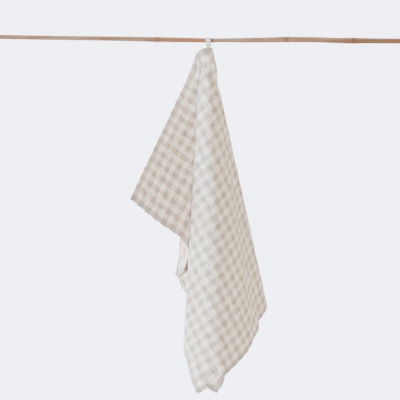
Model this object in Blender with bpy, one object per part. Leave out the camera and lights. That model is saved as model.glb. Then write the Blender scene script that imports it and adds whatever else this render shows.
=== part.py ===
"""Gingham tea towel hung by its corner loop on a thin, slightly crooked rod.

Metres, +Z up, the viewer looks along +Y. The origin is the centre of the rod's left end face,
and the rod runs towards +X.

The towel is a rectangle that hangs from one corner. Its cloth is described from that corner in
polar terms: a cut angle, 0 along the short side and 90 along the long side, and the distance
from the corner. Every cut angle hangs as a nearly straight line that fans out from the corner,
so the folds are given by two cross-sections, one near the top and one low down. A cross-section
is walked from the short side to the long side: each row of the fold table says which way the
cloth heads there, in degrees, with 0 to the right (+X) and 90 away from the viewer (+Y).
"""

import math
from collections import namedtuple

import bmesh
import bpy
import numpy as np

# ---- towel ---------------------------------------------------------------
TOWEL_WIDTH = 0.450         # short side, along cut angle 0
TOWEL_LENGTH = 0.700        # long side, along cut angle 90
CLOTH_THICKNESS = 0.0013
CORNER_X = 0.5437           # where the hanging corner is
CORNER_Y = -0.0020
CORNER_Z = -0.0290
BIAS_STRETCH = 0.137        # how much longer the cloth hangs on its diagonal, near the corner
STRETCH_FADE = 0.063        # how much of that is gone at the low cross-section
SHORT_SIDE_SHRINK = 0.028   # how much shorter the short side hangs, drawn in by its hem
LONG_SIDE_SHRINK = 0.031    # and the long side
BIAS_MIDDLE = 55.0          # cut angle of the middle of the stretch
STRETCH_SPREAD = 36.0       # cut angle from there to where no stretch is left
BIAS_NARROWING = 0.06       # how much narrower the stretched middle is
NARROW_SPREAD = 16.0

# ---- cross-sections ------------------------------------------------------
TOP_RADIUS = 0.120          # distance from the corner of the upper cross-section
LOW_RADIUS = 0.700          # and of the lower one
TOP_START = (-31.0, -10.0)  # sideways and depth angle of the short side, upper section
LOW_START = (-25.0, -18.2)  # the same, lower section

FoldRow = namedtuple("FoldRow", "name top_cut top_heading low_cut low_heading")
FOLDS = [
    FoldRow("short_side",    0.0,   12,  0.0,   38),
    FoldRow("flap_end",     19.6,   12, 22.9,   37),
    FoldRow("back_fold_1",  21.9,   70, 24.6,   95),
    FoldRow("layer_2",      24.0,  120, 26.0,  102),
    FoldRow("layer_2_end",  27.4,  118, 35.4,  102),
    FoldRow("left_fold",    28.8,   35, 37.2,   36),
    FoldRow("layer_3",      30.3,  -38, 38.8,  -28),
    FoldRow("layer_3_mid",  33.0,  -38, 40.2,  -26),
    FoldRow("layer_3_end",  34.6,  -40, 41.7,  -30),
    FoldRow("back_fold_2",  36.2,  -85, 43.1,  -75),
    FoldRow("layer_4",      38.0, -130, 44.6, -106),
    FoldRow("layer_4_end",  43.0, -130, 50.8, -106),
    FoldRow("front_ridge",  44.6,  -82, 51.8,  -80),
    FoldRow("front_left",   46.4,  -30, 52.7,  -50),
    FoldRow("front_bend",   53.5,  -36, 55.5,  -44),
    FoldRow("front_turn",   57.0,  -26, 57.4,  -26),
    FoldRow("crest",        60.0,    2, 59.6,    2),
    FoldRow("front_right",  63.0,   46, 62.0,   40),
    FoldRow("front_slope",  67.0,   42, 66.5,   42),
    FoldRow("steep_start",  71.0,   46, 69.5,   60),
    FoldRow("valley",       74.0,   64, 72.5,   76),
    FoldRow("valley_end",   76.0,   58, 75.5,   70),
    FoldRow("right_ridge",  80.0,   52, 79.0,   56),
    FoldRow("right_turn",   82.0,   70, 81.6,   66),
    FoldRow("right_fold",   83.6,  120, 83.0,  125),
    FoldRow("tucked_part",  85.5,  172, 84.4,  176),
    FoldRow("long_side",    90.0,  178, 90.0,  178),
]

# ---- the gathered corner -------------------------------------------------
OPEN_RADIUS = 0.025         # up to here the corner is one bowed arc, without folds
FOLDING_POWER = 2.5         # how quickly the folds form beyond it, up to TOP_RADIUS
OPEN_LEFT = -50.0           # furthest sideways angle of the short side
OPEN_TURN = 40.0            # heading of the cloth at both ends of that arc
GATHER_STEP = 0.004         # spacing of the sections worked out near the corner

# ---- the small second tip beside the bottom corner -----------------------
TIP_FROM = 0.374            # along the bottom hem, measured across the towel
TIP_PEAK = 0.402
TIP_TO = 0.422
TIP_REACH = 0.050           # how far up the cloth it starts
TIP_DROP = 0.026
TIP_BACK = 0.014

# ---- mesh steps ----------------------------------------------------------
STEPS_PER_FOLD = 3
RADIUS_STEPS = (0.014, 0.028, 0.045, 0.065, 0.09, 0.12, 0.16, 0.22, 0.30, 0.39,
                0.48, 0.57, 0.66, 0.75, 0.83, 0.89, 0.93, 0.965, 1.0)

# ---- rod -----------------------------------------------------------------
ROD_SIDES = 12
ROD_BEND_STEPS = 3          # rings between two rows of the table
RodRow = namedtuple("RodRow", "x z diameter")
ROD = [
    RodRow(0.000, 0.0000, 0.0088),
    RodRow(0.150, -0.0030, 0.0084),
    RodRow(0.275, -0.0045, 0.0086),
    RodRow(0.400, -0.0069, 0.0096),
    RodRow(0.418, -0.0071, 0.0104),
    RodRow(0.436, -0.0074, 0.0096),
    RodRow(0.525, -0.0098, 0.0106),
    RodRow(0.545, -0.0103, 0.0104),
    RodRow(0.575, -0.0098, 0.0090),
    RodRow(0.675, -0.0085, 0.0098),
    RodRow(0.740, -0.0072, 0.0110),
    RodRow(0.800, -0.0074, 0.0106),
    RodRow(0.880, -0.0098, 0.0108),
    RodRow(0.908, -0.0101, 0.0120),
    RodRow(0.930, -0.0102, 0.0108),
    RodRow(1.000, -0.0108, 0.0104),
    RodRow(1.050, -0.0112, 0.0100),
]

# ---- hanging loop --------------------------------------------------------
LOOP_WIDTH = 0.0130
TAPE_THICKNESS = 0.0010
SEAT_GAP = 0.0003           # clearance to the rod and to the cloth
LOOP_ARC_STEPS = 14
LOOP_MEET = 0.0035          # how far above the towel's corner the two ends meet
LOOP_TAIL = 0.0110          # how far they run down behind the corner


def clear_scene():
    """Remove every object of the open scene."""
    for item in list(bpy.data.objects):
        bpy.data.objects.remove(item, do_unlink=True)


def make_material(name, colour, roughness):
    """A plain dielectric surface."""
    material = bpy.data.materials.new(name)
    material.use_nodes = True
    shader = material.node_tree.nodes["Principled BSDF"]
    shader.inputs["Base Color"].default_value = (*colour, 1.0)
    shader.inputs["Roughness"].default_value = roughness
    shader.inputs["Metallic"].default_value = 0.0
    return material


def add_object(name, mesh, material):
    """Link a mesh as a named object."""
    mesh.materials.append(material)
    item = bpy.data.objects.new(name, mesh)
    bpy.context.scene.collection.objects.link(item)
    return item


# ---- towel ---------------------------------------------------------------
def row_values(column, t, smooth):
    """Read one column of the fold table at row numbers t, with fractions in between."""
    values = np.array([getattr(row, column) for row in FOLDS], float)
    index = np.minimum(t.astype(int), len(FOLDS) - 2)
    part = t - index
    if smooth:
        part = part * part * (3 - 2 * part)
    return values[index] + (values[index + 1] - values[index]) * part


def narrowing(cut):
    """Share of its flat width that the cloth keeps at a cut angle."""
    spread = 1 - ((cut - BIAS_MIDDLE) / NARROW_SPREAD) ** 2
    return 1 - BIAS_NARROWING * np.clip(spread, 0, 1)


def stretched(cut, radius):
    """How much longer than its cut length the cloth hangs, out to a distance from the corner."""
    loss = SHORT_SIDE_SHRINK + (LONG_SIDE_SHRINK - SHORT_SIDE_SHRINK) * cut / 90
    bias = max(1 - abs(cut - BIAS_MIDDLE) / STRETCH_SPREAD, 0.0)
    gain = BIAS_STRETCH - STRETCH_FADE * radius / LOW_RADIUS
    return 1 - loss + gain * math.sin(math.pi / 2 * bias) ** 2


def walk_section(level, start, t, folded=1.0):
    """Follow the cloth through one cross-section: cut angle, sideways and depth angle."""
    cut = row_values(level + "_cut", t, False)
    open_heading = OPEN_TURN * (cut / 45 - 1)
    heading = row_values(level + "_heading", t, True) * folded + open_heading * (1 - folded)
    heading = np.radians(heading)
    step = np.diff(cut) * narrowing((cut[1:] + cut[:-1]) / 2)
    middle = (heading[1:] + heading[:-1]) / 2
    side = start[0] + np.concatenate([[0], np.cumsum(np.cos(middle) * step)])
    deep = start[1] + np.concatenate([[0], np.cumsum(np.sin(middle) * step)])
    return np.array([cut, side, deep])


def lean(radius):
    """How much of the upper section's shape a distance from the corner takes."""
    return (1 / radius - 1 / LOW_RADIUS) / (1 / TOP_RADIUS - 1 / LOW_RADIUS)


def second_tip(across, along):
    """Extra drop of the hem where the small second tip hangs, from 0 to 1."""
    if across < TIP_PEAK:
        side = (across - TIP_FROM) / (TIP_PEAK - TIP_FROM)
    else:
        side = (TIP_TO - across) / (TIP_TO - TIP_PEAK)
    height = 1 - (TOWEL_LENGTH - along) / TIP_REACH
    return max(side, 0.0) * max(height, 0.0) ** 1.5


class Drape:
    """The hanging towel: a point of the cloth goes to its place in the air."""

    def __init__(self, fine_steps=24):
        self.t = np.linspace(0, len(FOLDS) - 1, (len(FOLDS) - 1) * fine_steps + 1)
        self.top = walk_section("top", TOP_START, self.t)
        self.low = walk_section("low", LOW_START, self.t)
        steps = round((TOP_RADIUS - OPEN_RADIUS) / GATHER_STEP)
        self.gather_radii = np.linspace(OPEN_RADIUS, TOP_RADIUS, steps + 1)
        self.gathered = [self.gather(radius) for radius in self.gather_radii]

    def gather(self, radius):
        """Cross-section near the corner, where the folds open into one bowed arc."""
        unfolded = (TOP_RADIUS - radius) / (TOP_RADIUS - OPEN_RADIUS)
        folded = 1 - unfolded ** FOLDING_POWER
        side = LOW_START[0] + (TOP_START[0] - LOW_START[0]) * lean(radius)
        start = (max(side, OPEN_LEFT), TOP_START[1] * folded)
        return walk_section("top", start, self.t, folded)

    def section(self, t, radius):
        """Cut angle, sideways angle and depth angle of row t at a distance from the corner."""
        if radius >= TOP_RADIUS:
            share = lean(radius)
            near, far = self.top, self.low
        else:
            place = np.interp(radius, self.gather_radii, range(len(self.gather_radii)))
            index = min(int(place), len(self.gathered) - 2)
            share = 1 - (place - index)
            near, far = self.gathered[index], self.gathered[index + 1]
        values = []
        for near_value, far_value in zip(near, far):
            near_value = np.interp(t, self.t, near_value)
            far_value = np.interp(t, self.t, far_value)
            values.append(far_value + (near_value - far_value) * share)
        return values

    def edge_radius(self, t):
        """Distance from the corner to the far hem along row t."""
        radius = LOW_RADIUS
        for _ in range(12):
            cut = math.radians(min(max(self.section(t, radius)[0], 0.01), 89.99))
            radius = min(TOWEL_WIDTH / math.cos(cut), TOWEL_LENGTH / math.sin(cut))
        return radius

    def place(self, t, radius):
        """Position in the air of row t at a distance from the corner."""
        cut, side, deep = self.section(t, radius)
        angle = math.radians(math.hypot(side, deep))
        length = radius * stretched(cut, radius)
        cut = min(max(math.radians(cut), 0.0), math.pi / 2)
        spread = length * math.sin(angle) / max(math.hypot(side, deep), 1e-6)
        x = CORNER_X + spread * side
        y = CORNER_Y + spread * deep
        z = CORNER_Z - length * math.cos(angle)
        drop = second_tip(radius * math.cos(cut), radius * math.sin(cut))
        return (x, y + TIP_BACK * drop, z - TIP_DROP * drop)

    def row_at_hem(self, across):
        """Row whose line ends at a place along the bottom hem."""
        wanted = math.degrees(math.atan2(TOWEL_LENGTH, across))
        low, high = 0.0, len(FOLDS) - 1.0
        for _ in range(40):
            middle = (low + high) / 2
            if self.section(middle, self.edge_radius(middle))[0] < wanted:
                low = middle
            else:
                high = middle
        return (low + high) / 2


def towel_rows(drape):
    """Row numbers of the mesh: even steps, and lines to the far corner and the second tip."""
    rows = list(np.linspace(0, len(FOLDS) - 1, (len(FOLDS) - 1) * STEPS_PER_FOLD + 1))
    for across in (TOWEL_WIDTH, TIP_FROM, TIP_PEAK, TIP_TO):
        value = drape.row_at_hem(across)
        distances = [abs(row - value) for row in rows]
        nearest = distances.index(min(distances))
        if abs(rows[nearest] - value) < 0.5 / STEPS_PER_FOLD:
            rows[nearest] = value
        else:
            rows.append(value)
    return sorted(rows)


def make_towel(material):
    """The towel as one folded sheet of even thickness."""
    drape = Drape()
    rows = towel_rows(drape)
    bm = bmesh.new()
    corner = bm.verts.new((CORNER_X, CORNER_Y, CORNER_Z))
    lines = []
    for t in rows:
        reach = drape.edge_radius(t)
        lines.append([bm.verts.new(drape.place(t, reach * part)) for part in RADIUS_STEPS])
    for left, right in zip(lines, lines[1:]):
        bm.faces.new((corner, left[0], right[0]))
        for i in range(len(RADIUS_STEPS) - 1):
            bm.faces.new((left[i], left[i + 1], right[i + 1], right[i]))
    for face in bm.faces:
        face.smooth = True
    mesh = bpy.data.meshes.new("towel")
    bm.to_mesh(mesh)
    bm.free()
    towel = add_object("towel", mesh, material)
    solid = towel.modifiers.new("thickness", "SOLIDIFY")
    solid.thickness = CLOTH_THICKNESS
    solid.offset = 0.0
    return towel


# ---- rod -----------------------------------------------------------------
def rod_at(x):
    """Height and diameter of the rod at a place along it."""
    places = [row.x for row in ROD]
    height = np.interp(x, places, [row.z for row in ROD])
    diameter = np.interp(x, places, [row.diameter for row in ROD])
    return float(height), float(diameter)


def make_rod(material):
    """A natural stick: round rings along the table's rows, with flat end faces."""
    bm = bmesh.new()
    rings = []
    for index, row in enumerate(ROD[:-1]):
        following = ROD[index + 1]
        for step in range(ROD_BEND_STEPS):
            rings.append(row.x + (following.x - row.x) * step / ROD_BEND_STEPS)
    rings.append(ROD[-1].x)
    previous = None
    for x in rings:
        height, diameter = rod_at(x)
        ring = []
        for side in range(ROD_SIDES):
            turn = 2 * math.pi * (side + 0.5) / ROD_SIDES
            y = math.cos(turn) * diameter / 2
            z = height + math.sin(turn) * diameter / 2
            ring.append(bm.verts.new((x, y, z)))
        if previous is None:
            bm.faces.new(list(reversed(ring)))
        else:
            for side in range(ROD_SIDES):
                other = (side + 1) % ROD_SIDES
                bm.faces.new((previous[side], previous[other], ring[other], ring[side]))
        previous = ring
    bm.faces.new(previous)
    bmesh.ops.recalc_face_normals(bm, faces=bm.faces)
    mesh = bpy.data.meshes.new("rod")
    bm.to_mesh(mesh)
    bm.free()
    mesh.shade_smooth()
    mesh.set_sharp_from_angle(angle=math.radians(40))
    return add_object("rod", mesh, material)


# ---- hanging loop --------------------------------------------------------
def drop_outline(radius, tip_depth, centre_z):
    """A circle that narrows to a point below it: points (y, z), from the point and round."""
    tangent = math.acos(radius / tip_depth)
    start = -math.pi / 2 + tangent
    sweep = 2 * math.pi - 2 * tangent
    bend_radius = radius / math.cos(sweep / LOOP_ARC_STEPS / 2)
    points = [(0.0, centre_z - tip_depth)]
    for step in range(LOOP_ARC_STEPS + 1):
        turn = start + sweep * step / LOOP_ARC_STEPS
        points.append((bend_radius * math.cos(turn), centre_z + bend_radius * math.sin(turn)))
    return points


def make_loop(material):
    """Cotton tape over the rod, its two ends joined and laid behind the towel's corner."""
    centre_z = rod_at(CORNER_X)[0]
    diameter = rod_at(CORNER_X - LOOP_WIDTH / 2)[1]
    inner_radius = diameter / 2 + SEAT_GAP
    outer_radius = inner_radius + TAPE_THICKNESS
    meet_depth = centre_z - (CORNER_Z + LOOP_MEET)
    inner = drop_outline(inner_radius, meet_depth, centre_z)
    outer = drop_outline(outer_radius, meet_depth + TAPE_THICKNESS * 2, centre_z)
    tail_top = centre_z - meet_depth
    tail_foot = CORNER_Z - LOOP_TAIL
    tail = [(-TAPE_THICKNESS, tail_top), (-TAPE_THICKNESS, tail_foot),
            (TAPE_THICKNESS, tail_foot), (TAPE_THICKNESS, tail_top)]
    outer = tail + [point for point in outer[1:] if point[1] > tail_top]
    bm = bmesh.new()
    for outline in (outer, inner):
        corners = [bm.verts.new((CORNER_X - LOOP_WIDTH / 2, y, z)) for y, z in outline]
        for first, second in zip(corners, corners[1:] + corners[:1]):
            bm.edges.new((first, second))
    bmesh.ops.triangle_fill(bm, edges=bm.edges, use_beauty=True)
    made = bmesh.ops.extrude_face_region(bm, geom=bm.faces[:])
    moved = [item for item in made["geom"] if isinstance(item, bmesh.types.BMVert)]
    bmesh.ops.translate(bm, verts=moved, vec=(LOOP_WIDTH, 0, 0))
    bmesh.ops.recalc_face_normals(bm, faces=bm.faces)
    mesh = bpy.data.meshes.new("hanging_loop")
    bm.to_mesh(mesh)
    bm.free()
    mesh.shade_smooth()
    mesh.set_sharp_from_angle(angle=math.radians(40))
    return add_object("hanging_loop", mesh, material)


def main():
    """Build the rod, the loop and the towel."""
    clear_scene()
    make_rod(make_material("natural_stick", (0.42, 0.25, 0.13), 0.6))
    make_loop(make_material("cotton_tape", (0.78, 0.74, 0.68), 0.9))
    make_towel(make_material("gingham_linen", (0.72, 0.66, 0.60), 0.9))


main()
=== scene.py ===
import math
from collections import namedtuple

import bmesh
import bpy
import numpy as np
from mathutils import Matrix, Vector


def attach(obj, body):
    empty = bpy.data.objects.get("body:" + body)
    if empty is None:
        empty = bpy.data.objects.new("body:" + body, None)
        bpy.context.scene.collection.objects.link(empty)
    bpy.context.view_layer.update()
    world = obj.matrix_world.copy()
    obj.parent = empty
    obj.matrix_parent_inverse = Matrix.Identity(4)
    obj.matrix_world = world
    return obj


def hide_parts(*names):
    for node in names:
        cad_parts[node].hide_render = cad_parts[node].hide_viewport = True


# A gingham linen tea towel, hung by its corner loop on a thin natural stick.
# Metres. The stick runs along +X, the viewer looks along +Y.
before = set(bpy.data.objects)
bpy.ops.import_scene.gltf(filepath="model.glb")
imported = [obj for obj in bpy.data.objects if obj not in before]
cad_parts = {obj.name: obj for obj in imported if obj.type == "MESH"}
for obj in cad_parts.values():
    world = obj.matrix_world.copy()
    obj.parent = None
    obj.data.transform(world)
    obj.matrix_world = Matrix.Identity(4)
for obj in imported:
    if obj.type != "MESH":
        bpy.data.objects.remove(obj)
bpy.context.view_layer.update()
print("frame loaded")


# camera
cameraView = {
    "place": (0.525, -4.0, -0.409),   # level with the middle of the photo
    "lens": 144.0,                    # one metre wide at the stick
    "sensor": 36.0,
}


def makeCamera():
    data = bpy.data.cameras.new("camera")
    data.lens = cameraView["lens"]
    data.sensor_width = cameraView["sensor"]
    data.clip_end = 40.0
    camera = bpy.data.objects.new("camera", data)
    camera.location = cameraView["place"]
    camera.rotation_euler = (math.radians(90), 0, 0)
    bpy.context.scene.collection.objects.link(camera)
    bpy.context.scene.camera = camera


makeCamera()


# small helpers for meshes and node trees
def addPiece(name, bm, materials):
    mesh = bpy.data.meshes.new(name)
    bm.to_mesh(mesh)
    bm.free()
    mesh.shade_smooth()
    for material in materials:
        mesh.materials.append(material)
    piece = bpy.data.objects.new(name, mesh)
    bpy.context.scene.collection.objects.link(piece)
    return piece


def addNode(tree, kind, **settings):
    node = tree.nodes.new(kind)
    for key, value in settings.items():
        setattr(node, key, value)
    return node


def mathStep(tree, operation, *values):
    node = addNode(tree, "ShaderNodeMath", operation=operation)
    for socket, value in zip(node.inputs, values):
        if isinstance(value, (int, float)):
            socket.default_value = value
        else:
            tree.links.new(value, socket)
    return node.outputs[0]


def mapRange(tree, value, low, high, newLow, newHigh, smooth=False):
    node = addNode(tree, "ShaderNodeMapRange")
    if smooth:
        node.interpolation_type = "SMOOTHSTEP"
    tree.links.new(value, node.inputs["Value"])
    node.inputs["From Min"].default_value = low
    node.inputs["From Max"].default_value = high
    node.inputs["To Min"].default_value = newLow
    node.inputs["To Max"].default_value = newHigh
    return node.outputs["Result"]


def mixColour(tree, share, first, second, blend="MIX"):
    node = addNode(tree, "ShaderNodeMix", data_type="RGBA", blend_type=blend)
    inputs = node.inputs
    for socket, value in ((inputs[0], share), (inputs[6], first), (inputs[7], second)):
        if isinstance(value, (int, float)):
            socket.default_value = value
        elif isinstance(value, tuple):
            socket.default_value = (*value, 1.0)
        else:
            tree.links.new(value, socket)
    return node.outputs[2]


def noise(tree, vector, stretch, detail=2.0):
    mapping = addNode(tree, "ShaderNodeMapping")
    mapping.inputs["Scale"].default_value = stretch
    tree.links.new(vector, mapping.inputs["Vector"])
    node = addNode(tree, "ShaderNodeTexNoise")
    node.inputs["Scale"].default_value = 1.0
    node.inputs["Detail"].default_value = detail
    tree.links.new(mapping.outputs["Vector"], node.inputs["Vector"])
    return node.outputs["Fac"]


def newMaterial(name):
    material = bpy.data.materials.new(name)
    material.use_nodes = True
    tree = material.node_tree
    return material, tree, tree.nodes["Principled BSDF"]


# threads and slubs that the towel and the tape share
def makeWeaveGroup():
    group = bpy.data.node_groups.new("plainWeave", "ShaderNodeTree")
    face = group.interface
    face.new_socket(name="Flat", in_out="INPUT", socket_type="NodeSocketVector")
    face.new_socket(name="Thread", in_out="INPUT", socket_type="NodeSocketFloat")
    face.new_socket(name="Height", in_out="OUTPUT", socket_type="NodeSocketFloat")
    face.new_socket(name="Slub", in_out="OUTPUT", socket_type="NodeSocketFloat")
    start = group.nodes.new("NodeGroupInput")
    end = group.nodes.new("NodeGroupOutput")
    parts = addNode(group, "ShaderNodeSeparateXYZ")
    group.links.new(start.outputs["Flat"], parts.inputs[0])
    waves = []
    for axis in (0, 1):
        turns = mathStep(group, "DIVIDE", parts.outputs[axis], start.outputs["Thread"])
        waves.append(mathStep(group, "COSINE", mathStep(group, "MULTIPLY", turns, 2 * math.pi)))
    crossing = mathStep(group, "MULTIPLY", waves[0], waves[1])
    warp = noise(group, start.outputs["Flat"], (290.0, 38.0, 1.0), detail=4.0)
    weft = noise(group, start.outputs["Flat"], (38.0, 290.0, 1.0), detail=4.0)
    warpHalf = mathStep(group, "MULTIPLY", warp, 0.5)
    weftHalf = mathStep(group, "MULTIPLY", weft, 0.5)
    slub = mathStep(group, "ADD", warpHalf, weftHalf)
    rough = mathStep(group, "MULTIPLY", mathStep(group, "SUBTRACT", slub, 0.5), 3.0)
    woven = mathStep(group, "MULTIPLY", crossing, 0.4)
    group.links.new(mathStep(group, "ADD", woven, rough), end.inputs["Height"])
    group.links.new(slub, end.inputs["Slub"])
    return group


weaveGroup = makeWeaveGroup()


def placeWeave(tree, flat, thread):
    node = addNode(tree, "ShaderNodeGroup", node_tree=weaveGroup)
    tree.links.new(flat, node.inputs["Flat"])
    node.inputs["Thread"].default_value = thread
    return node.outputs["Height"], node.outputs["Slub"]


# towel
towel = {
    "width": 0.450,              # short side, cut angle 0
    "length": 0.700,             # long side, cut angle 90
    "corner": (0.5437, -0.0020, -0.0290),
    "cloth": 0.0009,             # thickness of one layer
    "hemCloth": 0.0017,          # and of the turned hem
    "hem": 0.0115,               # width of the hem
    "step": 0.0031,              # spacing of the mesh lines
    "topRadius": 0.120,          # where the upper section of the fold table is taken
    "lowRadius": 0.700,          # and the lower one
    "topStart": (-31.0, -10.0),  # sideways and depth angle of the short side there
    "lowStart": (-25.0, -18.2),
    "openRadius": 0.025,         # up to here the corner is one bowed arc
    "foldingPower": 2.5,
    "openLeft": -50.0,
    "openTurn": 40.0,
    "biasStretch": 0.137,        # how much longer the cloth hangs on its diagonal
    "stretchFade": 0.063,
    "shortShrink": 0.028,
    "longShrink": 0.031,
    "biasMiddle": 55.0,
    "stretchSpread": 36.0,
    "biasNarrowing": 0.06,
    "narrowSpread": 16.0,
    "check": (0.02727, 0.02642), # repeat of the checks across and along
    "checkStart": 0.0055,        # middle of the first beige stripe, from the corner
    "hemCurl": 0.0022,           # how far the hem turns back
    "hemWave": 0.0008,           # how far its edge wanders
    "flapTuck": (1.00, 2.1),     # degrees that the flap's end goes right and back, to the ridge
    "flare": {"left": (33.0, 0.020), "right": (60.0, 0.007), "from": 0.012},  # degrees and fading
}

# a row for each fold, walked from the short side to the long side: cut angle and heading
# of the cloth in the upper section, then in the lower one
Fold = namedtuple("Fold", "name topCut topHeading lowCut lowHeading")
folds = [
    Fold("shortSide",    0.0,   12,  0.0,   38),
    Fold("flapEnd",     19.6,   12, 22.9,   37),
    Fold("backFold1",   21.9,   70, 24.6,   95),
    Fold("layer2",      24.0,  120, 26.0,  102),
    Fold("layer2End",   27.4,  118, 35.4,  102),
    Fold("leftFold",    28.8,   35, 37.2,   36),
    Fold("layer3",      30.3,  -38, 38.8,  -28),
    Fold("layer3Mid",   33.0,  -38, 40.2,  -26),
    Fold("layer3End",   34.6,  -40, 41.7,  -30),
    Fold("backFold2",   36.2,  -85, 43.1,  -75),
    Fold("layer4",      38.0, -130, 44.6, -106),
    Fold("layer4End",   43.0, -130, 50.8, -106),
    Fold("frontRidge",  44.6,  -82, 51.8,  -80),
    Fold("frontLeft",   46.4,  -30, 52.7,  -50),
    Fold("frontBend",   53.5,  -36, 55.5,  -44),
    Fold("frontTurn",   57.0,  -26, 57.4,  -26),
    Fold("crest",       60.0,    2, 59.6,    2),
    Fold("frontRight",  63.0,   46, 62.0,   40),
    Fold("frontSlope",  67.0,   42, 66.5,   42),
    Fold("steepStart",  71.0,   46, 69.5,   60),
    Fold("valley",      74.0,   64, 72.5,   76),
    Fold("valleyEnd",   76.0,   58, 75.5,   70),
    Fold("rightRidge",  80.0,   52, 79.0,   56),
    Fold("rightTurn",   82.0,   70, 81.6,   66),
    Fold("rightFold",   83.6,  120, 83.0,  125),
    Fold("tuckedPart",  85.5,  172, 84.4,  176),
    Fold("longSide",    90.0,  178, 90.0,  178),
]
fineSteps = 24                   # points between two rows of the table
fineRows = np.linspace(0, len(folds) - 1, (len(folds) - 1) * fineSteps + 1)

# the small second tip beside the bottom corner, along the bottom hem
secondTip = {"start": 0.374, "peak": 0.402, "end": 0.422, "reach": 0.050, "drop": 0.026, "back": 0.014}

# places where the cloth sags or is pulled out of its folds: place on the flat cloth, how far
# round it the pull is felt, and the shift in the air
Pull = namedtuple("Pull", "across along reach x y z")
pulls = [
    Pull(0.450, 0.060, 0.100, 0.0000, 0.000, -0.0060),   # hem of the flap
    Pull(0.450, 0.190, 0.160, 0.0000, 0.000, -0.0120),   # and its inner end
    Pull(0.450, 0.330, 0.140, -0.0020, -0.045, 0.0000),  # the layer behind the flap, near its hem
    Pull(0.430, 0.415, 0.125, 0.0000, -0.038, 0.0000),
    Pull(0.450, 0.390, 0.062, -0.0140, 0.004, -0.0030),
    Pull(0.450, 0.262, 0.110, 0.0030, 0.000, -0.0420),   # and its hem, down to the next layer
    Pull(0.450, 0.680, 0.085, -0.0090, 0.000, -0.0020),  # bottom corner
    Pull(0.400, 0.700, 0.036, 0.0070, 0.000, 0.0000),    # second tip
    Pull(0.042, 0.042, 0.040, -0.0060, -0.005, 0.0000),  # front ridge, near the corner
    Pull(0.190, 0.700, 0.042, 0.0065, 0.000, -0.0010),   # hem on the right
]

# creases listed one by one, as polar places from the corner: cut angle and distance where each
# starts and ends, its half width and how far it stands up (down if negative)
Crease = namedtuple("Crease", "cutFrom reachFrom cutTo reachTo width height")
creases = [
    Crease(43.5, 0.016, 45.0, 0.120, 0.0026, 0.0022),   # the front ridge, up to the corner
    Crease(36.0, 0.016, 40.5, 0.100, 0.0024, -0.0020),
    Crease(27.0, 0.018, 29.0, 0.075, 0.0026, -0.0016),
    Crease(9.0, 0.016, 8.0, 0.085, 0.0026, 0.0020),
    Crease(14.0, 0.016, 13.0, 0.095, 0.0024, -0.0022),
    Crease(20.0, 0.018, 18.5, 0.075, 0.0024, 0.0018),
    Crease(78.5, 0.640, 77.0, 0.738, 0.0050, -0.0024),
    Crease(80.5, 0.600, 79.8, 0.725, 0.0050, 0.0018),
    Crease(50.0, 0.015, 52.0, 0.100, 0.0042, -0.0012),
    Crease(57.0, 0.012, 60.0, 0.130, 0.0044, 0.0010),
    Crease(66.0, 0.015, 68.0, 0.150, 0.0050, -0.0012),
    Crease(74.0, 0.014, 76.0, 0.090, 0.0040, 0.0010),
    Crease(5.0, 0.250, 12.0, 0.430, 0.0110, 0.0013),
    Crease(14.0, 0.160, 17.0, 0.400, 0.0100, -0.0013),
    Crease(55.0, 0.300, 56.0, 0.780, 0.0120, -0.0018),
    Crease(62.0, 0.260, 64.5, 0.640, 0.0130, 0.0016),
    Crease(67.5, 0.420, 69.0, 0.740, 0.0110, -0.0020),
    Crease(79.5, 0.300, 77.5, 0.660, 0.0080, -0.0016),
    Crease(58.5, 0.560, 61.0, 0.800, 0.0100, 0.0018),
]


def readColumn(column, smooth):
    values = np.array([getattr(fold, column) for fold in folds], float)
    index = np.minimum(fineRows.astype(int), len(folds) - 2)
    part = fineRows - index
    if smooth:
        part = part * part * (3 - 2 * part)
    return values[index] + (values[index + 1] - values[index]) * part


def walkSection(level, start, folded=1.0):
    # follow the cloth through one cross-section and note its sideways and depth angle
    cut = readColumn(level + "Cut", False)
    openHeading = towel["openTurn"] * (cut / 45 - 1)
    heading = np.radians(readColumn(level + "Heading", True) * folded + openHeading * (1 - folded))
    middleCut = (cut[1:] + cut[:-1]) / 2
    spread = 1 - ((middleCut - towel["biasMiddle"]) / towel["narrowSpread"]) ** 2
    step = np.diff(cut) * (1 - towel["biasNarrowing"] * np.clip(spread, 0, 1))
    middle = (heading[1:] + heading[:-1]) / 2
    side = start[0] + np.concatenate([[0], np.cumsum(np.cos(middle) * step)])
    deep = start[1] + np.concatenate([[0], np.cumsum(np.sin(middle) * step)])
    return np.array([side, deep])


def lean(radius):
    low, top = towel["lowRadius"], towel["topRadius"]
    return (1 / radius - 1 / low) / (1 / top - 1 / low)


def gatheredSection(radius):
    # near the corner the folds open into one bowed arc
    unfolded = (towel["topRadius"] - radius) / (towel["topRadius"] - towel["openRadius"])
    folded = 1 - unfolded ** towel["foldingPower"]
    side = towel["lowStart"][0] + (towel["topStart"][0] - towel["lowStart"][0]) * lean(radius)
    return walkSection("top", (max(side, towel["openLeft"]), towel["topStart"][1] * folded), folded)


topSection = walkSection("top", towel["topStart"])
lowSection = walkSection("low", towel["lowStart"])
gatherRadii = np.linspace(towel["openRadius"], towel["topRadius"], 25)
gathered = np.array([gatheredSection(radius) for radius in gatherRadii])


def rowOf(cut, share):
    # row of the fold table, with fractions, that a cut angle falls on at each point
    row = np.zeros_like(cut)
    for index in range(len(folds) - 1):
        near, far = folds[index], folds[index + 1]
        first = near.lowCut + (near.topCut - near.lowCut) * share
        last = far.lowCut + (far.topCut - far.lowCut) * share
        inside = (cut >= first) & (cut <= last)
        row[inside] = index + ((cut - first) / (last - first))[inside]
    return row


def readFine(table, row):
    index = np.minimum((row * fineSteps).astype(int), len(fineRows) - 2)
    part = row * fineSteps - index
    return table[..., index] * (1 - part) + table[..., index + 1] * part


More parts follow.
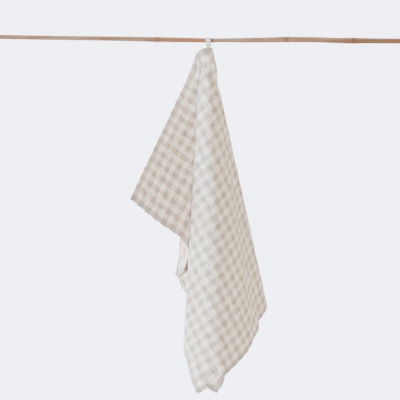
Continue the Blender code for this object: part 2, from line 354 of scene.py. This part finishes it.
def tuckFlap(row, radius):
    # the last part of the flap and the fold behind it lie a little further right
    flapEnd, layer2, leftFold = 1, 3, 5
    swell = np.interp(row, (0, flapEnd, layer2, leftFold), (0, 1, 0.9, 0))
    near = np.clip((row - 0.5 * flapEnd) / (0.5 * flapEnd), 0, 1)
    rise = np.where(row < flapEnd, near * near * (3 - 2 * near), swell)
    return rise * np.clip((radius - 0.05) / 0.15, 0, 1)


def sectionAngles(cut, radius):
    share = lean(np.maximum(radius, towel["topRadius"]))
    row = rowOf(cut, share)
    far = readFine(lowSection, row)
    near = readFine(topSection, row)
    angles = far + (near - far) * share
    place = (radius - towel["openRadius"]) / (towel["topRadius"] - towel["openRadius"])
    place = np.clip(place, 0, 1) * (len(gatherRadii) - 1)
    index = np.minimum(place.astype(int), len(gatherRadii) - 2)
    part = place - index
    columns = np.arange(len(row))
    rising = readFine(gathered, row)
    inner = rising[index, :, columns].T * (1 - part) + rising[index + 1, :, columns].T * part
    angles = np.where(radius < towel["topRadius"], inner, angles)
    tucked = tuckFlap(row, radius)
    side = angles[0] + towel["flapTuck"][0] * tucked
    deep = angles[1] + towel["flapTuck"][1] * tucked
    flare = towel["flare"]
    beyond = np.maximum(radius - flare["from"], 0)
    right = flare["right"][0] * np.exp(-beyond / flare["right"][1]) * np.clip(side / 30, 0, 1)
    left = flare["left"][0] * np.exp(-beyond / flare["left"][1]) * np.clip(-side / 45, 0, 1)
    return side + right - left, deep


def hangCloth(across, along):
    # where points of the flat cloth hang in the air
    radius = np.hypot(across, along)
    cut = np.degrees(np.arctan2(along, np.maximum(across, 1e-9)))
    side, deep = sectionAngles(cut, radius)
    loss = towel["shortShrink"] + (towel["longShrink"] - towel["shortShrink"]) * cut / 90
    bias = np.maximum(1 - abs(cut - towel["biasMiddle"]) / towel["stretchSpread"], 0)
    gain = towel["biasStretch"] - towel["stretchFade"] * radius / towel["lowRadius"]
    length = radius * (1 - loss + gain * np.sin(math.pi / 2 * bias) ** 2)
    turn = np.maximum(np.hypot(side, deep), 1e-6)
    spread = length * np.sin(np.radians(turn)) / turn
    tip = secondTip
    rise = (across - tip["start"]) / (tip["peak"] - tip["start"])
    fall = (tip["end"] - across) / (tip["end"] - tip["peak"])
    height = np.clip(1 - (towel["length"] - along) / tip["reach"], 0, 1) ** 1.5
    drop = np.clip(np.minimum(rise, fall), 0, 1) * height
    x = towel["corner"][0] + spread * side
    y = towel["corner"][1] + spread * deep + tip["back"] * drop
    z = towel["corner"][2] - length * np.cos(np.radians(turn)) - tip["drop"] * drop
    place = np.stack([x, y, z], axis=-1)
    for pull in pulls:
        distance = np.hypot(across - pull.across, along - pull.along) / pull.reach
        felt = np.clip(1 - distance ** 2, 0, 1) ** 2
        place += felt[:, None] * np.array([pull.x, pull.y, pull.z])
    return place


def creaseHeight(across, along):
    # how far the creases, the small waves and the hem move the cloth out of its folds
    total = np.zeros_like(across)
    for crease in creases:
        ends = []
        for cut, reach in ((crease.cutFrom, crease.reachFrom), (crease.cutTo, crease.reachTo)):
            turn = math.radians(cut)
            ends.append(np.array([reach * math.cos(turn), reach * math.sin(turn)]))
        run = ends[1] - ends[0]
        fromStart = np.stack([across - ends[0][0], along - ends[0][1]])
        part = (fromStart[0] * run[0] + fromStart[1] * run[1]) / (run @ run)
        aside = (fromStart[0] * run[1] - fromStart[1] * run[0]) / math.sqrt(run @ run)
        taper = np.sin(math.pi * np.clip(part, 0, 1)) ** 0.8
        total += crease.height * taper * np.exp(-(aside / crease.width) ** 2)
    radius = np.hypot(across, along)
    calm = np.clip(radius / 0.30, 0, 1) ** 1.5
    waves = np.sin(across * 96 + 1.3 + 1.4 * np.sin(along * 37)) * np.sin(along * 71 + 0.6)
    waves += 0.6 * np.sin(across * 151 - along * 88 + 2.1) * np.sin(along * 53 + across * 31)
    total += 0.0006 * calm * waves
    width, length, hem = towel["width"], towel["length"], towel["hem"]
    toShort = np.minimum(along, length - along)
    toLong = np.minimum(across, width - across)
    edge = np.minimum(toShort, toLong)
    fromCorner = np.clip((radius - 0.03) / 0.08, 0, 1)
    curl = np.clip(1 - edge / (1.6 * hem), 0, 1) ** 2
    total -= towel["hemCurl"] * curl * fromCorner
    pucker = np.exp(-((edge - hem) / 0.006) ** 2) * fromCorner
    lengthwise = np.where(toShort < toLong, across, along)
    total += 0.0008 * pucker * np.sin(lengthwise * 2 * math.pi / 0.011 + 2 * np.sin(lengthwise * 61))
    return total


def meshLines(size):
    # even lines across the cloth, closer where the hem ends
    hem = towel["hem"]
    edge = np.array([0.0, 0.0010, 0.0045, 0.0082, hem - 0.0006])
    count = round((size - 2 * hem) / towel["step"])
    inner = np.linspace(hem + 0.0006, size - hem - 0.0006, count + 1)
    return np.concatenate([edge, inner, size - edge[::-1]])


def flatEdge(across, along):
    return min(along, towel["length"] - along, across, towel["width"] - across)


def makeTowel(material):
    acrossLines = meshLines(towel["width"])
    alongLines = meshLines(towel["length"])
    bm = bmesh.new()
    columns, rows = len(acrossLines) - 1, len(alongLines) - 1
    bmesh.ops.create_grid(bm, x_segments=columns, y_segments=rows, size=1.0)
    across = np.array([acrossLines[round((vert.co.x + 1) / 2 * columns)] for vert in bm.verts])
    along = np.array([alongLines[round((vert.co.y + 1) / 2 * rows)] for vert in bm.verts])
    flatPlace = list(zip(across, along))
    # the hem isn't quite straight
    shortWave = np.sin(across * 230 + 1.1) + 0.7 * np.sin(across * 517 + 0.4)
    longWave = np.sin(along * 211 + 2.0) + 0.7 * np.sin(along * 483)
    toShort = np.minimum(along, towel["length"] - along)
    toLong = np.minimum(across, towel["width"] - across)
    nearShort = np.exp(-toShort / 0.012) * np.sign(along - towel["length"] / 2)
    nearLong = np.exp(-toLong / 0.012) * np.sign(across - towel["width"] / 2)
    clear = np.clip((np.hypot(across, along) - 0.04) / 0.06, 0, 1) * towel["hemWave"]
    across, along = across + clear * nearLong * longWave, along + clear * nearShort * shortWave
    place = hangCloth(across, along)
    nudge = 1e-4
    facing = np.cross(hangCloth(across + nudge, along) - place, hangCloth(across, along + nudge) - place)
    facing /= np.maximum(np.linalg.norm(facing, axis=1), 1e-12)[:, None]
    raised = place + facing * creaseHeight(across, along)[:, None]
    flat = bm.loops.layers.uv.new("flat")
    bm.verts.index_update()
    for vert, co in zip(bm.verts, raised):
        vert.co = co
    for bmFace in bm.faces:
        for loop in bmFace.loops:
            loop[flat].uv = flatPlace[loop.vert.index]
    piece = addPiece("towelCloth", bm, [material])
    edge = [flatEdge(flatAcross, flatAlong) for flatAcross, flatAlong in flatPlace]
    thin = towel["cloth"] / towel["hemCloth"]
    thick = piece.vertex_groups.new(name="thick")
    for index, distance in enumerate(edge):
        weight = 1.0 if distance < towel["hem"] else thin
        thick.add([index], weight, "REPLACE")
    solid = piece.modifiers.new("thickness", "SOLIDIFY")
    solid.thickness = towel["hemCloth"]
    solid.offset = 0.0
    solid.vertex_group = "thick"
    return piece


linen = {
    "white": (0.86, 0.82, 0.77),
    "pinkBeige": (0.50, 0.395, 0.345),
    "greenBeige": (0.44, 0.405, 0.325),
    "thread": 0.00125,
    "grain": (0.64, 1.22),       # how dark and light the slubs make it
    "roughness": 0.88,
    "inside": 0.60,              # share of the light that goes into the cloth
    "insideReach": 0.0022,
    "gloss": 0.25,
    "bump": 0.0004,
    "stitch": (0.80, 0.76, 0.70),
    "stitchLine": 0.0096,        # from the edge
    "stitchLength": 0.0034,
    # share and colour of the painted shade that is mixed in at each hem
    "hem": (0.32, (0.46, 0.395, 0.345)),
    "farHemShade": (0.36, (0.33, 0.315, 0.265)),
    "hemCornerShade": (0.65, (0.30, 0.245, 0.21)),
    "hemEndShadow": (0.40, (0.25, 0.23, 0.20)),
}


def makeLinen():
    material, tree, shader = newMaterial("ginghamLinen")
    uv = addNode(tree, "ShaderNodeUVMap", uv_map="flat")
    parts = addNode(tree, "ShaderNodeSeparateXYZ")
    tree.links.new(uv.outputs["UV"], parts.inputs[0])
    height, slub = placeWeave(tree, uv.outputs["UV"], linen["thread"])
    wander = noise(tree, uv.outputs["UV"], (60.0, 60.0, 1.0))
    wander = mathStep(tree, "MULTIPLY", mathStep(tree, "SUBTRACT", wander, 0.5), 0.0012)
    stripes = []
    for axis in (0, 1):
        half = towel["check"][axis] / 2
        fromStart = mathStep(tree, "SUBTRACT", parts.outputs[axis], towel["checkStart"])
        shifted = mathStep(tree, "ADD", fromStart, wander)
        fromMiddle = mathStep(tree, "PINGPONG", shifted, half)
        stripes.append(mapRange(tree, fromMiddle, half * 0.44, half * 0.56, 1.0, 0.0, True))
    share = mathStep(tree, "MULTIPLY", mathStep(tree, "ADD", stripes[0], stripes[1]), 0.5)
    uneven = mathStep(tree, "MULTIPLY", mathStep(tree, "SUBTRACT", slub, 0.5), 0.9)
    share = mathStep(tree, "ADD", share, uneven)
    share = mathStep(tree, "MINIMUM", mathStep(tree, "MAXIMUM", share, 0.0), 1.0)
    # the dyed yarn runs from a pinkish to a greener beige
    yarn = mapRange(tree, noise(tree, uv.outputs["UV"], (95.0, 95.0, 1.0)), 0.42, 0.58, 0.0, 1.0)
    beige = mixColour(tree, yarn, linen["pinkBeige"], linen["greenBeige"])
    colour = mixColour(tree, share, linen["white"], beige)
    grain = mapRange(tree, slub, 0.40, 0.60, *linen["grain"])
    colour = mixColour(tree, 1.0, colour, grain, "MULTIPLY")
    # the line of stitches along the hem
    fromSide = mathStep(tree, "PINGPONG", parts.outputs[0], towel["width"] / 2)
    fromEnd = mathStep(tree, "PINGPONG", parts.outputs[1], towel["length"] / 2)
    edge = mathStep(tree, "MINIMUM", fromSide, fromEnd)
    offLine = mathStep(tree, "ABSOLUTE", mathStep(tree, "SUBTRACT", edge, linen["stitchLine"]))
    onLine = mapRange(tree, offLine, 0.0003, 0.0006, 1.0, 0.0)
    alongHem = mathStep(tree, "ADD", parts.outputs[0], parts.outputs[1])
    gap = mathStep(tree, "PINGPONG", alongHem, linen["stitchLength"] / 2)
    dash = mapRange(tree, gap, 0.0003, 0.0006, 0.0, 1.0)
    stitch = mathStep(tree, "MULTIPLY", onLine, dash)
    colour = mixColour(tree, stitch, colour, linen["stitch"])
    # painted shade: the hem is two layers more, so it lets less light through and is painted a little
    # greyer
    amount, tint = linen["hem"]
    hemShade = mapRange(tree, edge, towel["hem"] - 0.0008, towel["hem"] + 0.0002, amount, 0.0)
    colour = mixColour(tree, hemShade, colour, tint)
    # and the far short side, at the lower right, gets the darkest painted shade of the hems
    amount, tint = linen["farHemShade"]
    hemStart = towel["length"] - towel["hem"]
    farHemShadeMask = mapRange(tree, parts.outputs[1], hemStart - 0.0002, hemStart + 0.0008, 0.0, amount)
    colour = mixColour(tree, farHemShadeMask, colour, tint)
    # painted shade in the corners, where two hems lie over each other
    amount, tint = linen["hemCornerShade"]
    bothHems = mathStep(tree, "MAXIMUM", fromSide, fromEnd)
    cornerShadeMask = mapRange(tree, bothHems, towel["hem"] + 0.001, towel["hem"] + 0.003, amount, 0.0)
    colour = mixColour(tree, cornerShadeMask, colour, tint)
    # and a thin painted shadow runs where the hem's fold ends
    amount, tint = linen["hemEndShadow"]
    offHem = mathStep(tree, "ABSOLUTE", mathStep(tree, "SUBTRACT", edge, towel["hem"]))
    hemEndShadowMask = mapRange(tree, offHem, 0.0004, 0.0014, amount, 0.0)
    colour = mixColour(tree, hemEndShadowMask, colour, tint)
    tree.links.new(colour, shader.inputs["Base Color"])
    raised = mathStep(tree, "ADD", height, mathStep(tree, "MULTIPLY", stitch, 1.5))
    bump = addNode(tree, "ShaderNodeBump")
    bump.inputs["Strength"].default_value = 0.5
    bump.inputs["Distance"].default_value = linen["bump"]
    tree.links.new(raised, bump.inputs["Height"])
    tree.links.new(bump.outputs["Normal"], shader.inputs["Normal"])
    shader.inputs["Roughness"].default_value = linen["roughness"]
    shader.inputs["Subsurface Weight"].default_value = linen["inside"]
    shader.inputs["Subsurface Radius"].default_value = (1.0, 0.9, 0.8)
    shader.inputs["Subsurface Scale"].default_value = linen["insideReach"]
    shader.inputs["Specular IOR Level"].default_value = linen["gloss"]
    return material


towelPiece = makeTowel(makeLinen())
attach(towelPiece, "root")
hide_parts("towel")
print("towel hung,", len(towelPiece.data.vertices), "points")


# stick
stick = {
    "sides": 28,
    "ringStep": 0.006,
    "knots": ((0.418, 0.010), (0.740, 0.016), (0.908, 0.010)),  # place, half width
    "light": (0.29, 0.165, 0.095),
    "dark": (0.135, 0.070, 0.034),
    # painted highlight colour for the stick's upper side
    "topHighlight": (0.42, 0.31, 0.26),
    "knotColour": (0.12, 0.06, 0.028),
    # painted shadow colour for the band beside the loop
    "loopShadowColour": (0.045, 0.032, 0.024),
    "cutEnd": ((0.66, 0.50, 0.34), (0.42, 0.28, 0.17)),
    "gloss": 0.03,
    "bark": 1.34,            # how much thicker the bark makes it, away from the loop
    "rubbed": 1.16,          # and under the loop
    "sag": 0.0006,           # and how far it sags there
    "bare": (0.500, 0.590),  # where the loop has rubbed it smooth
    "loopShadow": (0.5540, 0.0022),  # painted shadow beside the loop's right edge: place, half width
}
# stretches of another tone: where each starts, is full, fades and ends, its share and colour
Tone = namedtuple("Tone", "start full fade end share colour")
tones = [
    Tone(0.380, 0.500, 0.530, 0.560, 0.55, (0.30, 0.105, 0.038)),   # redder, left of the loop
    Tone(0.555, 0.560, 0.600, 0.680, 0.32, (0.40, 0.25, 0.19)),     # paler, right of it
    Tone(0.904, 0.908, 1.060, 1.070, 0.60, (0.16, 0.078, 0.030)),   # browner past the last knot
]

StickRow = namedtuple("StickRow", "x z diameter")
stickRows = [
    StickRow(0.000, 0.0000, 0.0088),
    StickRow(0.150, -0.0030, 0.0084),
    StickRow(0.275, -0.0045, 0.0086),
    StickRow(0.400, -0.0069, 0.0096),
    StickRow(0.418, -0.0071, 0.0104),
    StickRow(0.436, -0.0074, 0.0096),
    StickRow(0.525, -0.0098, 0.0106),
    StickRow(0.545, -0.0103, 0.0104),
    StickRow(0.575, -0.0098, 0.0090),
    StickRow(0.675, -0.0085, 0.0098),
    StickRow(0.740, -0.0072, 0.0110),
    StickRow(0.800, -0.0074, 0.0106),
    StickRow(0.880, -0.0098, 0.0108),
    StickRow(0.908, -0.0101, 0.0120),
    StickRow(0.930, -0.0102, 0.0108),
    StickRow(1.000, -0.0108, 0.0104),
    StickRow(1.050, -0.0112, 0.0100),
]


def stickAt(x):
    places = [row.x for row in stickRows]
    height = np.interp(x, places, [row.z for row in stickRows])
    return float(height), float(np.interp(x, places, [row.diameter for row in stickRows]))


def makeStick(bark, cutWood):
    length = stickRows[-1].x
    bm = bmesh.new()
    bmesh.ops.create_cone(bm, cap_ends=True, segments=stick["sides"],
                          radius1=1.0, radius2=1.0, depth=length)
    bmesh.ops.rotate(bm, verts=bm.verts, cent=(0, 0, 0), matrix=Matrix.Rotation(math.radians(90), 3, "Y"))
    bmesh.ops.translate(bm, verts=bm.verts, vec=(length / 2, 0, 0))
    for place in np.arange(stick["ringStep"], length, stick["ringStep"]):
        bmesh.ops.bisect_plane(bm, geom=bm.verts[:] + bm.edges[:] + bm.faces[:],
                               plane_co=(place, 0, 0), plane_no=(1, 0, 0), dist=1e-6)
    for face in bm.faces:
        face.material_index = 1 if abs(face.normal.x) > 0.9 else 0
    for vert in bm.verts:
        x = vert.co.x
        height, diameter = stickAt(x)
        angle = math.atan2(vert.co.z, vert.co.y)
        dent = 0.5 + 0.5 * math.sin(3 * angle + 23 * x + 1.7 * math.sin(31 * x))
        dent += 0.5 + 0.5 * math.sin(2 * angle - 41 * x)
        bareStart, bareEnd = stick["bare"]
        fromBare = max(bareStart - x, x - bareEnd, 0)
        rough = min(fromBare / 0.04, 1)
        height -= stick["sag"] * rough
        thicker = stick["rubbed"] + (stick["bark"] - stick["rubbed"]) * rough
        radius = diameter / 2 * thicker * (1 - 0.018 * dent)
        vert.co.y = math.cos(angle) * radius
        vert.co.z = height + math.sin(angle) * radius
    bmesh.ops.recalc_face_normals(bm, faces=bm.faces)
    piece = addPiece("stickWood", bm, [bark, cutWood])
    piece.data.set_sharp_from_angle(angle=math.radians(50))
    return piece


def makeBark():
    material, tree, shader = newMaterial("barkedStick")
    own = addNode(tree, "ShaderNodeTexCoord").outputs
    place = own["Object"]
    parts = addNode(tree, "ShaderNodeSeparateXYZ")
    tree.links.new(place, parts.inputs[0])
    patches = noise(tree, place, (11.0, 60.0, 60.0), detail=3.0)
    streaks = noise(tree, place, (26.0, 900.0, 900.0), detail=4.0)
    fibres = noise(tree, place, (90.0, 2600.0, 2600.0), detail=3.0)
    share = mathStep(tree, "ADD", mapRange(tree, patches, 0.35, 0.65, 0.0, 0.6, True),
                     mapRange(tree, streaks, 0.35, 0.70, 0.0, 0.45, True))
    colour = mixColour(tree, share, stick["light"], stick["dark"])
    for tone in tones:
        rise = mapRange(tree, parts.outputs[0], tone.start, tone.full, 0.0, tone.share, True)
        fall = mapRange(tree, parts.outputs[0], tone.fade, tone.end, 1.0, 0.0, True)
        colour = mixColour(tree, mathStep(tree, "MULTIPLY", rise, fall), colour, tone.colour)
    # painted highlight: its upper side is lighter, as if lit from above
    upward = addNode(tree, "ShaderNodeSeparateXYZ")
    tree.links.new(own["Normal"], upward.inputs[0])
    topHighlight = mapRange(tree, upward.outputs[2], 0.2, 0.8, 0.0, 0.42)
    colour = mixColour(tree, topHighlight, colour, stick["topHighlight"])
    for middle, half in stick["knots"]:
        away = mathStep(tree, "ABSOLUTE", mathStep(tree, "SUBTRACT", parts.outputs[0], middle))
        knot = mapRange(tree, away, half * 0.15, half * 0.7, 0.55, 0.0, True)
        colour = mixColour(tree, knot, colour, stick["knotColour"])
    # painted shadow: a dark band on the stick beside the loop's right edge, where the loop shades it
    middle, half = stick["loopShadow"]
    away = mathStep(tree, "ABSOLUTE", mathStep(tree, "SUBTRACT", parts.outputs[0], middle))
    loopShadow = mapRange(tree, away, half * 0.5, half, 0.85, 0.0, True)
    colour = mixColour(tree, loopShadow, colour, stick["loopShadowColour"])
    tree.links.new(colour, shader.inputs["Base Color"])
    bump = addNode(tree, "ShaderNodeBump")
    bump.inputs["Strength"].default_value = 0.35
    bump.inputs["Distance"].default_value = 0.0004
    tree.links.new(mathStep(tree, "ADD", streaks, fibres), bump.inputs["Height"])
    tree.links.new(bump.outputs["Normal"], shader.inputs["Normal"])
    tree.links.new(mapRange(tree, streaks, 0.3, 0.7, 0.60, 0.80), shader.inputs["Roughness"])
    shader.inputs["Specular IOR Level"].default_value = stick["gloss"]
    return material


def makeCutWood():
    material, tree, shader = newMaterial("cutStickEnd")
    place = addNode(tree, "ShaderNodeTexCoord").outputs["Object"]
    parts = addNode(tree, "ShaderNodeSeparateXYZ")
    tree.links.new(place, parts.inputs[0])
    offCentre = mathStep(tree, "ADD", parts.outputs[2], 0.004)
    reach = mathStep(tree, "SQRT", mathStep(tree, "ADD", mathStep(tree, "POWER", parts.outputs[1], 2.0),
                                            mathStep(tree, "POWER", offCentre, 2.0)))
    ring = mathStep(tree, "SINE", mathStep(tree, "MULTIPLY", reach, 7000.0))
    speckle = noise(tree, place, (900.0, 900.0, 900.0))
    rings = mapRange(tree, ring, -1.0, 1.0, 0.0, 0.5)
    share = mathStep(tree, "ADD", rings, mathStep(tree, "MULTIPLY", speckle, 0.5))
    tree.links.new(mixColour(tree, share, *stick["cutEnd"]), shader.inputs["Base Color"])
    shader.inputs["Roughness"].default_value = 0.8
    return material


stickPiece = makeStick(makeBark(), makeCutWood())
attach(stickPiece, "root")
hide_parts("rod")
print("stick made")


# hanging loop
tape = {
    "width": 0.0130,
    "neck": 0.0112,          # narrower where it goes into the corner
    "thickness": 0.0009,
    "layer": 0.0010,         # space that one layer takes
    "gap": 0.0003,           # clearance to the stick
    "meet": 0.0035,          # how far above the corner the two layers meet
    "tail": 0.0105,          # how far they run down behind the corner
    "arcSteps": 30,
    "lean": (0.0018, 0.0032),  # how far right of the corner it lies, at the stick and at its foot
    "colour": (0.72, 0.665, 0.64),
    "shade": (0.56, 0.50, 0.47),
    "darkerEdges": (0.38, 0.32, 0.30),
    "thread": 0.0009,
}


def tapeRoute():
    # one layer up behind the corner, round the stick and down again: y and z of each point
    centre = stickAt(towel["corner"][0])[0]
    diameter = stickAt(towel["corner"][0] - tape["width"] / 2)[1]
    radius = diameter / 2 * stick["rubbed"] + tape["gap"] + tape["layer"] / 2
    half = tape["layer"] / 2
    meetZ = towel["corner"][2] + tape["meet"]
    footZ = towel["corner"][2] - tape["tail"]
    tangent = math.acos(radius / (centre - meetZ + tape["layer"] * 1.2))
    start = -math.pi / 2 + tangent
    sweep = 2 * math.pi - 2 * tangent
    arc = []
    for index in range(tape["arcSteps"] + 1):
        turn = start + sweep * index / tape["arcSteps"]
        arc.append((radius * math.cos(turn), centre + radius * math.sin(turn)))
    tail = [(half, footZ + (meetZ - footZ) * part) for part in (0, 0.25, 0.5, 0.75, 1.0)]
    side = [tuple(np.array(tail[-1]) + (np.array(arc[0]) - tail[-1]) * part) for part in (0.33, 0.67)]
    rise = tail + side
    return rise + arc + [(-y, z) for y, z in reversed(rise)]


def makeTape(material):
    route = np.array(tapeRoute())
    lengths = np.concatenate([[0], np.cumsum(np.linalg.norm(np.diff(route, axis=0), axis=1))])
    middle = lengths[-1] / 2
    bm = bmesh.new()
    columns, rows = 8, len(route) - 1
    bmesh.ops.create_grid(bm, x_segments=columns, y_segments=rows, size=1.0)
    flat = bm.loops.layers.uv.new("flat")
    flatPlace = {}
    for vert in bm.verts:
        index = round((vert.co.y + 1) / 2 * rows)
        side = vert.co.x / 2
        away = abs(lengths[index] - middle) / middle
        width = tape["width"] + (tape["neck"] - tape["width"]) * min(max((away - 0.35) / 0.4, 0), 1)
        flatPlace[vert] = (side * tape["width"], lengths[index])
        y, z = route[index]
        atStick, atFoot = tape["lean"]
        rightward = atStick + (atFoot - atStick) * away
        vert.co = (towel["corner"][0] + rightward + side * width, y, z)
    for face in bm.faces:
        for loop in face.loops:
            loop[flat].uv = flatPlace[loop.vert]
    piece = addPiece("loopTape", bm, [material])
    solid = piece.modifiers.new("thickness", "SOLIDIFY")
    solid.thickness = tape["thickness"]
    solid.offset = 0.0
    return piece, float(lengths[-1])


def makeTapeCotton():
    material, tree, shader = newMaterial("tapeCotton")
    uv = addNode(tree, "ShaderNodeUVMap", uv_map="flat")
    parts = addNode(tree, "ShaderNodeSeparateXYZ")
    tree.links.new(uv.outputs["UV"], parts.inputs[0])
    height, slub = placeWeave(tree, uv.outputs["UV"], tape["thread"])
    # a twill that turns round at the middle of the tape
    aside = mathStep(tree, "ABSOLUTE", parts.outputs[0])
    diagonal = mathStep(tree, "ADD", aside, parts.outputs[1])
    slant = mathStep(tree, "SINE", mathStep(tree, "MULTIPLY", diagonal, 4200.0))
    twill = mapRange(tree, slant, -1.0, 1.0, 0.0, 0.12)
    share = mathStep(tree, "ADD", mathStep(tree, "MULTIPLY", slub, 0.7), twill)
    colour = mixColour(tree, share, tape["colour"], tape["shade"])
    # the tape is darker towards both its edges
    darkerEdges = mapRange(tree, aside, tape["width"] * 0.36, tape["width"] * 0.47, 0.0, 0.45)
    colour = mixColour(tree, darkerEdges, colour, tape["darkerEdges"])
    tree.links.new(colour, shader.inputs["Base Color"])
    bump = addNode(tree, "ShaderNodeBump")
    bump.inputs["Strength"].default_value = 0.5
    bump.inputs["Distance"].default_value = 0.0003
    tree.links.new(mathStep(tree, "ADD", height, slant), bump.inputs["Height"])
    tree.links.new(bump.outputs["Normal"], shader.inputs["Normal"])
    shader.inputs["Roughness"].default_value = 0.9
    return material


tapePiece, tapeLength = makeTape(makeTapeCotton())
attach(tapePiece, "root")
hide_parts("hanging_loop")
print("loop made, tape", round(tapeLength, 4), "m long")


# studio
studio = {
    "floor": -1.30,          # below the towel's tip and below the photo
    "floorColour": (0.80, 0.80, 0.80),
    "size": 1.8,             # half its width
    "key": {"place": (-2.7, -2.5, -0.1), "aim": (0.55, 0.0, -0.5), "size": 1.8, "power": 410.0},
    "keyColour": (0.74, 0.86, 1.0),
    "back": {"place": (-2.3, 2.6, 0.1), "aim": (0.5, 0.0, -0.45), "size": 1.8, "power": 300.0},
    "backColour": (1.0, 0.95, 0.90),
    "sky": (1.0, 0.88, 0.73),
    "skyStrength": 1.76,
    "backdrop": (5.15, 5.30, 6.70),   # what the camera sees behind everything
}


def makeFloor():
    bm = bmesh.new()
    bmesh.ops.create_grid(bm, x_segments=2, y_segments=2, size=studio["size"])
    bmesh.ops.translate(bm, verts=bm.verts, vec=(0.52, 0, studio["floor"]))
    material, tree, shader = newMaterial("studioFloor")
    shader.inputs["Base Color"].default_value = (*studio["floorColour"], 1.0)
    shader.inputs["Roughness"].default_value = 0.95
    shader.inputs["Specular IOR Level"].default_value = 0.1
    floor = addPiece("studioFloor", bm, [material])


def addLight(name, settings, colour):
    data = bpy.data.lights.new(name, "AREA")
    data.color = colour
    data.shape = "SQUARE"
    data.size = settings["size"]
    data.energy = settings["power"]
    light = bpy.data.objects.new(name, data)
    light.location = settings["place"]
    aim = Vector(settings["aim"]) - Vector(settings["place"])
    light.rotation_euler = aim.to_track_quat("-Z", "Y").to_euler()
    bpy.context.scene.collection.objects.link(light)


def makeSky():
    world = bpy.data.worlds.new("studioSky")
    bpy.context.scene.world = world
    world.use_nodes = True
    tree = world.node_tree
    background = tree.nodes["Background"]
    background.inputs["Strength"].default_value = 1.0
    seen = addNode(tree, "ShaderNodeLightPath").outputs["Is Camera Ray"]
    warm = tuple(part * studio["skyStrength"] for part in studio["sky"])
    tree.links.new(mixColour(tree, seen, warm, studio["backdrop"]), background.inputs["Color"])


makeFloor()
addLight("keyLight", studio["key"], studio["keyColour"])
addLight("backLight", studio["back"], studio["backColour"])
makeSky()
print("studio lit")
